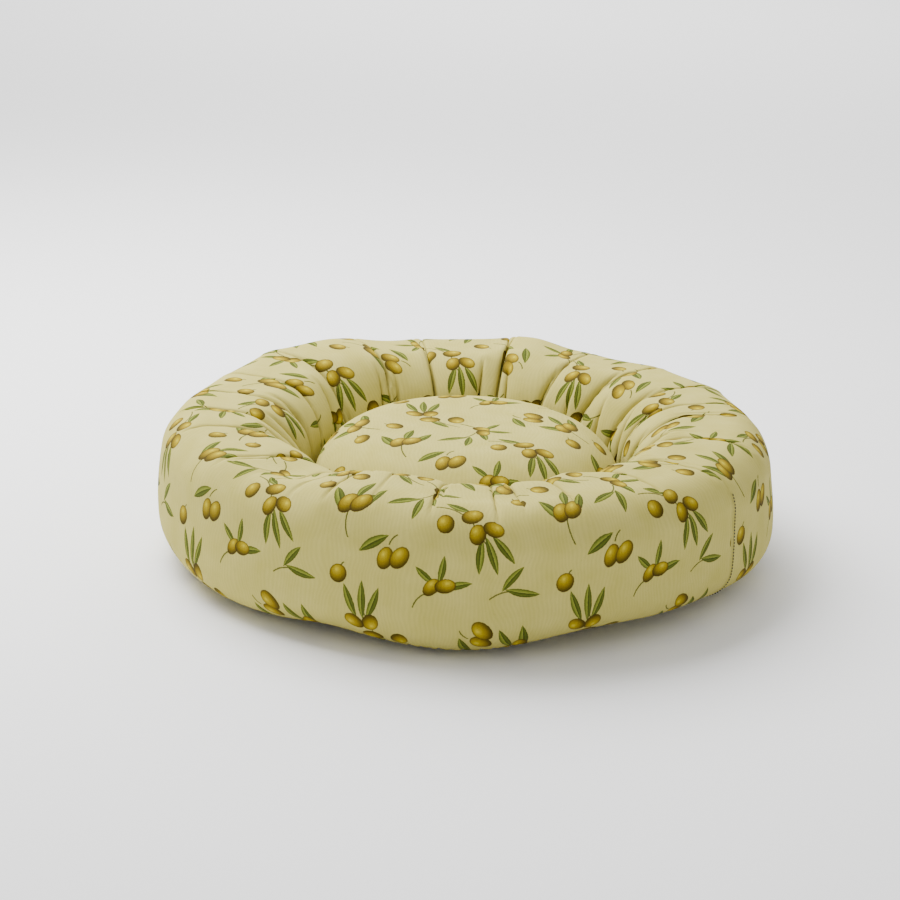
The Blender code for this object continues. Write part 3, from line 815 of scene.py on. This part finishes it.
def laid_along(name, path, closed, body, node, material, pitch, size, segments, leaning=False):
    """Geometry Nodes lay small rounded solids along a path, one every pitch.

    size is their length along the path, width and thickness. leaning turns them flat on the zip's plane.
    """
    edges = [(i, i + 1) for i in range(len(path) - 1)]
    if closed:
        edges.append((len(path) - 1, 0))
    mesh = bpy.data.meshes.new(name)
    mesh.from_pydata([tuple(p) for p in path], edges, [])
    holder = placed(name, mesh)
    tree = bpy.data.node_groups.new(name + "_along_a_seam", "GeometryNodeTree")
    tree.interface.new_socket("Geometry", in_out="INPUT", socket_type="NodeSocketGeometry")
    sizes = {}
    for label, value in zip(("Pitch", "Length", "Width", "Thickness"), (pitch, *size)):
        socket = tree.interface.new_socket(label, in_out="INPUT", socket_type="NodeSocketFloat")
        sizes[socket.identifier] = value
    tree.interface.new_socket("Geometry", in_out="OUTPUT", socket_type="NodeSocketGeometry")
    given = tree.nodes.new("NodeGroupInput").outputs
    curve = add(tree, "GeometryNodeMeshToCurve", {0: given["Geometry"]})
    even = add(tree, "GeometryNodeResampleCurve", {"Curve": curve, "Length": given["Pitch"]}, mode="LENGTH")
    bead = add(tree, "GeometryNodeMeshUVSphere", {"Segments": segments, "Rings": 6, "Radius": 0.5})
    ahead = add(tree, "GeometryNodeInputTangent")
    turned = add(tree, "FunctionNodeAlignRotationToVector", {"Vector": ahead}, axis="X")
    if leaning:
        here = add(tree, "GeometryNodeInputPosition")
        flat = add(tree, "ShaderNodeVectorMath", {0: here, 1: (1, 1, 0)}, operation="MULTIPLY")
        away = add(tree, "ShaderNodeVectorMath", {0: flat}, operation="NORMALIZE")
        tilt = {0: away, 1: (0.8, 0.8, 0.8), 2: (0, 0, -0.6)}
        out = add(tree, "ShaderNodeVectorMath", tilt, operation="MULTIPLY_ADD")
        aim = {"Rotation": turned, "Vector": out}
        turned = add(tree, "FunctionNodeAlignRotationToVector", aim, axis="Z", pivot_axis="X")
    extent = {0: given["Length"], 1: given["Width"], 2: given["Thickness"]}
    shape = add(tree, "ShaderNodeCombineXYZ", extent)
    fed = {"Points": even, "Instance": bead.outputs["Mesh"], "Rotation": turned, "Scale": shape}
    laid = add(tree, "GeometryNodeInstanceOnPoints", fed)
    solid = add(tree, "GeometryNodeRealizeInstances", {0: laid})
    smooth = add(tree, "GeometryNodeSetShadeSmooth", {0: solid})
    coated = add(tree, "GeometryNodeSetMaterial", {0: smooth, "Material": material})
    add(tree, "NodeGroupOutput", {0: coated})
    modifier = holder.modifiers.new("laid_along", "NODES")
    modifier.node_group = tree
    for identifier, value in sizes.items():
        modifier[identifier] = value
    made = bpy.data.meshes.new_from_object(holder.evaluated_get(bpy.context.evaluated_depsgraph_get()))
    made.name = name
    bpy.data.objects.remove(holder)
    return piece(name, made, body, node)


def thread(name, colour, dark):
    """Twisted polyester sewing thread, with a dull gloss and painted shade in the furrows of its twist."""
    made, tree, shader = new_material(name)
    place = add(tree, "ShaderNodeTexCoord").outputs["Object"]
    strand_shade = add(tree, "ShaderNodeTexNoise", {"Vector": place, "Scale": 2500.0})
    # The noise darkens the thread in flecks: painted shade for the furrows of its twist.
    base = add(tree, "ShaderNodeValToRGB", {0: strand_shade}, stops=[(0.35, dark, 1), (0.65, colour, 1)])
    tree.links.new(base.outputs[0], shader.inputs["Base Color"])
    shader.inputs["Roughness"].default_value = 0.55
    return made


DARK_THREAD = thread("dark_thread", "#262a26", "#131517")
BEIGE_THREAD = thread("beige_thread", "#cfc49a", "#b3a77c")


def stitches(name, path, closed, node, material, pitch, length, thick):
    """A row of stitches, each a short rounded length of thread."""
    return laid_along(name, path, closed, "ring", node, material, pitch, (length, thick, thick), 6)


def bolster_seams():
    rows = BOLSTER.shape[1]
    lean = outward(BOLSTER)
    per_degree = (rows - 1) / (180 + 2 * SEAM_ANGLE)
    low, high = 5, round((45 + SEAM_ANGLE) * per_degree)
    closing = BOLSTER[1, low : high + 1] + lean[1, low : high + 1] * 0.0004
    obj = stitches(
        "closing_seam_stitches", closing, False, "closing_seam_thread", DARK_THREAD, 0.0032, 0.0023, 0.0012
    )
    rim = BOLSTER[::2, 2] + lean[::2, 2] * (RIM_GAP + BASE_CLOTH + 0.0001)
    rim[:, 2] = np.maximum(rim[:, 2], 0.0006)
    obj = stitches("base_seam_stitches", rim, True, "base_seam_thread", DARK_THREAD, 0.004, 0.003, 0.0008)
    gather = BOLSTER[::2, -3] + lean[::2, -3] * 0.0002
    obj = stitches(
        "gather_seam_stitches", gather, True, "gather_seam_thread", BEIGE_THREAD, 0.004, 0.003, 0.0007
    )


bolster_seams()


# ================================================================ loose cushion
# A round cushion lies loose in the well. Its cover is two panels of the same canvas, a domed top one and a
# bottom one, sewn rim to rim below the widest place. A zip closes a third of the seam at the back.

CUSHION_COLUMNS = 256
CUSHION_STEP = 0.005
CUSHION_CLOTH = 0.001

# The filled form: its widest radius and that circle's height, and the flat underside's radius and height
CUSHION_RADIUS = 0.160
CUSHION_EQUATOR = 0.072
CUSHION_FLAT = 0.100
CUSHION_LOW = 0.0026
CUSHION_TOP_LIMIT = 0.1345

# The zip's place in the seam, and the half turn that the seam stays open for it, in degrees
ZIP_RADIUS = 0.13606
ZIP_HEIGHT = 0.02293
ZIP_SPAN = 58.5
ZIP_GAP = 0.0041
SEAM_GAP = 0.00015

# Where the panels were cut out of the printed cloth, and the hole at the middle of the mesh
CUSHION_CUT = (0.086, 0.031)
CROWN_RADIUS = 0.004


def cushion_profile():
    """The outline from the underside's middle to the crown, at even steps, and the seam's row in it."""
    t = np.radians(np.linspace(0, 90, 400))
    bottom = np.stack([np.linspace(CROWN_RADIUS, CUSHION_FLAT, 200), np.full(200, CUSHION_LOW)], -1)
    bulge = CUSHION_FLAT + 0.051 * np.sin(t) + 0.009 * np.sin(t) ** 10
    flank = np.stack([bulge, CUSHION_EQUATOR - 0.0694 * np.cos(t)], -1)
    crown = CUSHION_EQUATOR + 0.0610 * np.sin(t) ** (2 / 2.4)
    dome = np.stack([CUSHION_RADIUS * np.cos(t) ** (2 / 2.4), crown], -1)
    dome = dome[dome[:, 0] > CROWN_RADIUS]
    line = np.concatenate([bottom, flank[1:], dome[1:]])
    run = np.concatenate([[0], np.cumsum(np.hypot(*np.diff(line, axis=0).T))])
    seam = int(np.argmin(np.hypot(line[:, 0] - ZIP_RADIUS, line[:, 1] - ZIP_HEIGHT)))
    below = round(run[seam] / CUSHION_STEP)
    above = round((run[-1] - run[seam]) / CUSHION_STEP)
    lower, upper = np.linspace(0, run[seam], below + 1), np.linspace(run[seam], run[-1], above + 1)
    at = np.concatenate([lower, upper[1:]])
    return np.stack([np.interp(at, run, line[:, k]) for k in (0, 1)], -1), below, at


def cushion_cloth():
    """Simulates both panels at once, sewn together and filled."""
    profile, seam, at = cushion_profile()
    turn = (np.arange(CUSHION_COLUMNS) / CUSHION_COLUMNS * 2 * np.pi)[:, None]
    radius, height = profile[:, 0], profile[:, 1]
    points = np.stack([radius * np.cos(turn), radius * np.sin(turn), height + 0 * turn], -1)
    rng = np.random.default_rng(3)
    near = np.arange(len(profile))
    band = [0, -1, *range(seam - 3, seam + 4)]
    shake = rng.normal(0, 0.0005, points.shape)
    shake[:, band] = 0
    points += shake
    pinned = points[:, band].copy()
    ease = 1 + 0.035 * np.exp(-(((near - seam - 8) / 5.0) ** 2)) + 0.012
    across = 2 * np.pi * radius / CUSHION_COLUMNS * ease

    def limits(cloth):
        reach = np.hypot(cloth[..., 0], cloth[..., 1])
        cloth[..., :2] *= (np.minimum(reach, CUSHION_RADIUS) / reach)[..., None]
        np.clip(cloth[..., 2], CUSHION_LOW, CUSHION_TOP_LIMIT, out=cloth[..., 2])
        cloth[:, band] = pinned

    points = relaxed(points, across, CUSHION_STEP * 1.004, 170, 2.0, 0.05, band, limits, across * 0.3)
    return points, seam, at


CUSHION, CUSHION_SEAM, CUSHION_RUN = cushion_cloth()


def opened(points, first, outward_rows):
    """Slides the rows near the seam away from it, to leave room for the zip at the back."""
    columns, rows, _ = points.shape
    turn = np.degrees(np.arange(columns) / columns * 2 * np.pi)
    off = np.abs(turn_between(turn, 90.0))
    closing, spread = 3, 6.0
    gap = np.where(off < ZIP_SPAN, ZIP_GAP, SEAM_GAP)
    ends = (off >= ZIP_SPAN) & (off < ZIP_SPAN + closing)
    gap = np.where(ends, ZIP_GAP * (1 - (off - ZIP_SPAN) / closing), gap)
    gap = np.maximum(gap, SEAM_GAP)[:, None]
    steps = np.abs(np.arange(rows) - first)
    slide = gap / CUSHION_STEP * np.maximum(0, 1 - steps / spread)[None, :]
    where = np.clip(np.arange(rows)[None, :] + outward_rows * slide, 0, rows - 1)
    low = np.minimum(where.astype(int), rows - 2)
    share = (where - low)[..., None]
    column = np.arange(columns)[:, None]
    return points[column, low] * (1 - share) + points[column, low + 1] * share, where


def panel(name, outer, flat_radius, top, node):
    """One of the cover's panels as a closed thin shell, with its flat cut as a UV map."""
    inner = outer - outward(outer) * CUSHION_CLOTH
    if top:
        grid = np.concatenate([inner[:, ::-1], outer], 1)
        radius = np.concatenate([flat_radius[:, ::-1], flat_radius], 1)
    else:
        grid = np.concatenate([outer, inner[:, ::-1]], 1)
        radius = np.concatenate([flat_radius, flat_radius[:, ::-1]], 1)
    mesh = grid_mesh(name, grid, caps=True)
    wrapped = np.concatenate([radius, radius[:1]])
    turn = np.arange(CUSHION_COLUMNS + 1) / CUSHION_COLUMNS * 2 * np.pi
    flat_map(
        mesh,
        CUSHION_COLUMNS,
        grid.shape[1],
        lambda i, j: wrapped[i, j] * np.cos(turn[i]) + CUSHION_CUT[0],
        lambda i, j: wrapped[i, j] * np.sin(turn[i]) + CUSHION_CUT[1],
    )
    mesh.materials.append(CANVAS_CLOTH)
    obj = piece(name, mesh, "cushion", node)


def cushion_cover():
    rows = CUSHION.shape[1]
    step = CUSHION_RUN[-1] / (rows - 1)
    upper, where = opened(CUSHION[:, CUSHION_SEAM:], 0, 1)
    flat_radius = (rows - 1 - CUSHION_SEAM - where) * step + CROWN_RADIUS
    panel("cushion_top_cloth", upper, flat_radius, True, "cushion_top_panel")
    lower, where = opened(CUSHION[:, : CUSHION_SEAM + 1], CUSHION_SEAM, -1)
    panel("cushion_bottom_cloth", lower, where * step + CROWN_RADIUS, False, "cushion_bottom_panel")


cushion_cover()


# ================================================================ cushion filling and its bag
# The same fibre, in a bag of thin white nonwoven, so that it comes out in one piece. The bag is sewn round
# its own rim, and is smaller than the cover, so that it clears the zip.


def nonwoven():
    """Thin spunbond cloth, dull white, with bonded dots 1.4 mm apart."""
    made, tree, shader = new_material("white_nonwoven")
    place = add(tree, "ShaderNodeTexCoord").outputs["Object"]
    cells = add(tree, "ShaderNodeTexVoronoi", {"Vector": place, "Scale": 700.0, "Randomness": 0.2})
    colour = add(tree, "ShaderNodeValToRGB", {0: cells}, stops=[(0.1, "#dfe0de", 1), (0.5, "#f2f2f0", 1)])
    bump = add(tree, "ShaderNodeBump", {"Height": cells, "Strength": 0.4, "Distance": 0.0002})
    finish(tree, shader, colour.outputs[0], bump, 0.8)
    return made


NONWOVEN = nonwoven()


def crumpled(node, name, material, depth, scale):
    """A softer copy of a filled form, with its surface let in unevenly by up to depth."""
    mesh = bpy.data.meshes.new_from_object(bpy.data.objects[node])
    mesh.name = name
    shape = bmesh.new()
    shape.from_mesh(mesh)
    bmesh.ops.remove_doubles(shape, verts=shape.verts, dist=1e-6)
    shape.normal_update()
    for vertex in shape.verts:
        dip = noise.noise(vertex.co * scale) * 0.5 + 0.5
        vertex.co -= vertex.normal * depth * dip
    shape.to_mesh(mesh)
    shape.free()
    mesh.materials.clear()
    mesh.materials.append(material)
    mesh.shade_smooth()
    return piece(name, mesh, "cushion", node)


def cushion_inside():
    for node in ("inner_bag_top", "inner_bag_bottom"):
        obj = crumpled(node, node + "_cloth", NONWOVEN, 0.0, 60.0)
    obj = crumpled("cushion_fill", "cushion_fibre", FIBRE, 0.0015, 40.0)


cushion_inside()


# ================================================================ zip
# A coil zip is sewn to the rims of both panels at the back. Two woven tapes carry the nylon coils, metal
# stops hold the ends, and a slider with a hinged pull runs between them.

ZIP_HALF_SPAN = 54.0
COIL_OFF = 0.00185
TOOTH_PITCH = 0.0012
TOOTH_SIZE = (0.00095, 0.0021, 0.0019)


def nylon():
    """Beige nylon monofilament, smooth from its die, so it has a soft gloss."""
    made, tree, shader = new_material("nylon_coil")
    shader.inputs["Base Color"].default_value = linear("#d8cfae")
    shader.inputs["Roughness"].default_value = 0.4
    return made


NYLON = nylon()


def coil_teeth(name, side, node):
    """The coil's turns, seen as one tooth after another along one side of the zip."""
    angles = np.radians(np.linspace(90 - ZIP_HALF_SPAN, 90 + ZIP_HALF_SPAN, 120))
    radius = ZIP_RADIUS + side * COIL_OFF * 0.60
    height = ZIP_HEIGHT + side * COIL_OFF * 0.80
    path = [(radius * math.cos(a), radius * math.sin(a), height) for a in angles]
    obj = laid_along(name, path, False, "cushion", node, NYLON, TOOTH_PITCH, TOOTH_SIZE, 8, leaning=True)


def nickel():
    """Nickel plate over zinc, bright but a little dulled by handling."""
    made, tree, shader = new_material("nickel_plate")
    place = add(tree, "ShaderNodeTexCoord").outputs["Object"]
    wear = add(tree, "ShaderNodeTexNoise", {"Vector": place, "Scale": 600.0, "Detail": 4.0})
    rough = add(tree, "ShaderNodeMapRange", {0: wear, 1: 0.3, 2: 0.7, 3: 0.22, 4: 0.42})
    tree.links.new(rough.outputs[0], shader.inputs["Roughness"])
    shader.inputs["Base Color"].default_value = linear("#c9c8c3")
    shader.inputs["Metallic"].default_value = 1.0
    return made


NICKEL = nickel()


def rounded_metal(node, body, width):
    """A metal fitting with its edges rounded."""
    mesh = bpy.data.meshes.new_from_object(bpy.data.objects[node])
    mesh.materials.clear()
    mesh.materials.append(NICKEL)
    shape = bmesh.new()
    shape.from_mesh(mesh)
    bmesh.ops.remove_doubles(shape, verts=shape.verts, dist=1e-6)
    crease = math.radians(35)
    sharp = [e for e in shape.edges if len(e.link_faces) == 2 and e.calc_face_angle() > crease]
    bmesh.ops.bevel(
        shape, geom=sharp, offset=width, segments=2, profile=0.5, affect="EDGES", clamp_overlap=True
    )
    shape.to_mesh(mesh)
    shape.free()
    mesh.name = node + "_metal"
    mesh.shade_smooth()
    obj = piece(node + "_metal", mesh, body, node)


def zip_parts():
    weave = woven("zip_tape_weave", "#d6cda9", "#bdb38e", 0.7)
    for node in ("zip_tape_upper", "zip_tape_lower"):
        tape = bpy.data.objects[node]
        tape.data.materials.clear()
        tape.data.materials.append(weave)
    coil_teeth("zip_teeth_upper", 1, "zip_coil_upper")
    coil_teeth("zip_teeth_lower", -1, "zip_coil_lower")
    rounded_metal("zip_stop_left", "cushion", 0.0002)
    rounded_metal("zip_stop_right", "cushion", 0.0002)
    rounded_metal("zip_slider", "zip_slider", 0.0003)
    rounded_metal("zip_pull", "zip_pull", 0.0002)


zip_parts()


# ================================================================ floor, lights and camera
# The bed stands on a plain floor of white paper. A large soft light hangs over it to the left, another
# lights the paper behind it, and a long lens looks down a little from the front.

FLOOR_SIZE = 6.0


def floor():
    mesh = bpy.data.meshes.new("studio_floor")
    corners = [(x * FLOOR_SIZE, y * FLOOR_SIZE, 0) for x, y in ((-1, -1), (1, -1), (1, 1), (-1, 1))]
    mesh.from_pydata(corners, [], [(0, 1, 2, 3)])
    obj = placed("studio_floor", mesh)
    paper, tree, shader = new_material("white_paper")
    shader.inputs["Base Color"].default_value = (0.95, 0.95, 0.95, 1)
    shader.inputs["Roughness"].default_value = 0.9
    mesh.materials.append(paper)


def camera():
    elevation, distance, roll = math.radians(18.7), 2.4, math.radians(1.5)
    aim, left, raised = Vector((0, 0, 0.072)), 0.0172, 0.0324
    data = bpy.data.cameras.new("camera")
    data.lens = 978 * distance / 25  # this frames 0.92 m at the bed
    obj = placed("camera", data)
    look = Vector((0, math.cos(elevation), -math.sin(elevation)))
    turn = look.to_track_quat("-Z", "Y").to_matrix() @ Matrix.Rotation(roll, 3, "Z")
    right, up = turn @ Vector((1, 0, 0)), turn @ Vector((0, 1, 0))
    place = aim - right * left + up * raised - look * distance
    obj.matrix_world = Matrix.Translation(place) @ turn.to_4x4()
    bpy.context.scene.camera = obj


def soft_light(name, place, size, power, aim=(0, 0, 0.05)):
    data = bpy.data.lights.new(name, "AREA")
    data.size = size
    data.energy = power
    obj = placed(name, data)
    obj.location = place
    obj.rotation_euler = (Vector(aim) - obj.location).to_track_quat("-Z", "Y").to_euler()


def sky():
    world = bpy.data.worlds.new("studio_air")
    world.use_nodes = True
    air = world.node_tree.nodes["Background"]
    air.inputs["Color"].default_value = (1, 1, 1, 1)
    air.inputs["Strength"].default_value = 0.82
    bpy.context.scene.world = world


floor()
camera()
sky()
soft_light("overhead_softbox", (-0.75, 0.6, 1.55), 1.5, 80)
soft_light("backdrop_softbox", (0, 4.2, 2.4), 3.0, 150, (0, 4.0, 0))
